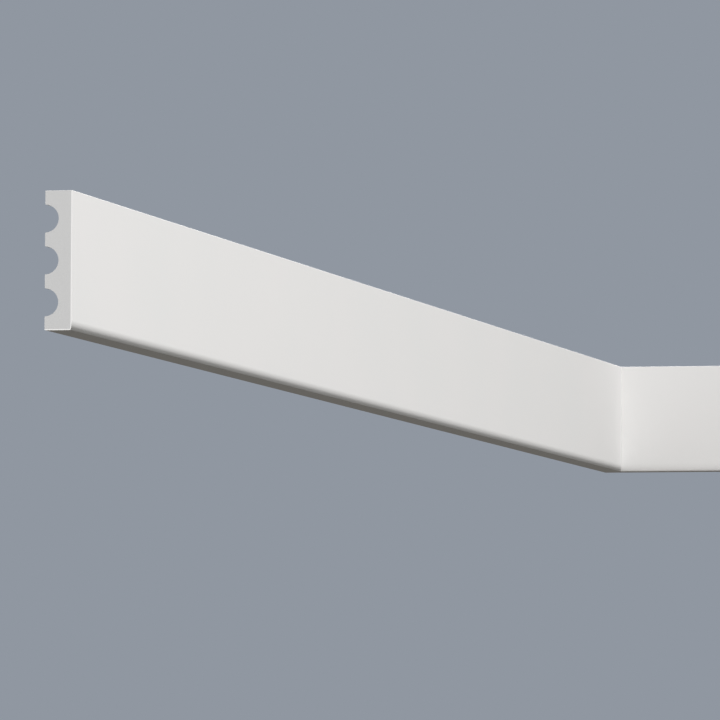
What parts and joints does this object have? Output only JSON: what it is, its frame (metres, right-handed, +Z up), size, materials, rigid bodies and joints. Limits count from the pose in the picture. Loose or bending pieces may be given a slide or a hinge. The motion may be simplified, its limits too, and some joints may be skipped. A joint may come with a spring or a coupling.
{
  "type": "skirting board",
  "caption": "Flat white skirting board with adhesive grooves in its back, mitred round the inner corner of a room.",
  "frame": {"origin": "centre of the base of the whole corner piece: halfway along the long board, halfway along the return, on the floor", "axes": "+Z up; +Y along the long board towards the inner corner; +X away from the long board's wall, along the return"},
  "size_m": [0.06, 1, 0.05],
  "materials": {
    "white_coat": "matt white primer coat over rigid polystyrene foam, light grey foam at the cut ends"
  },
  "bodies": {
    "root": {"long_board": "white_coat", "return_board": "white_coat"}
  },
  "joints": []
}
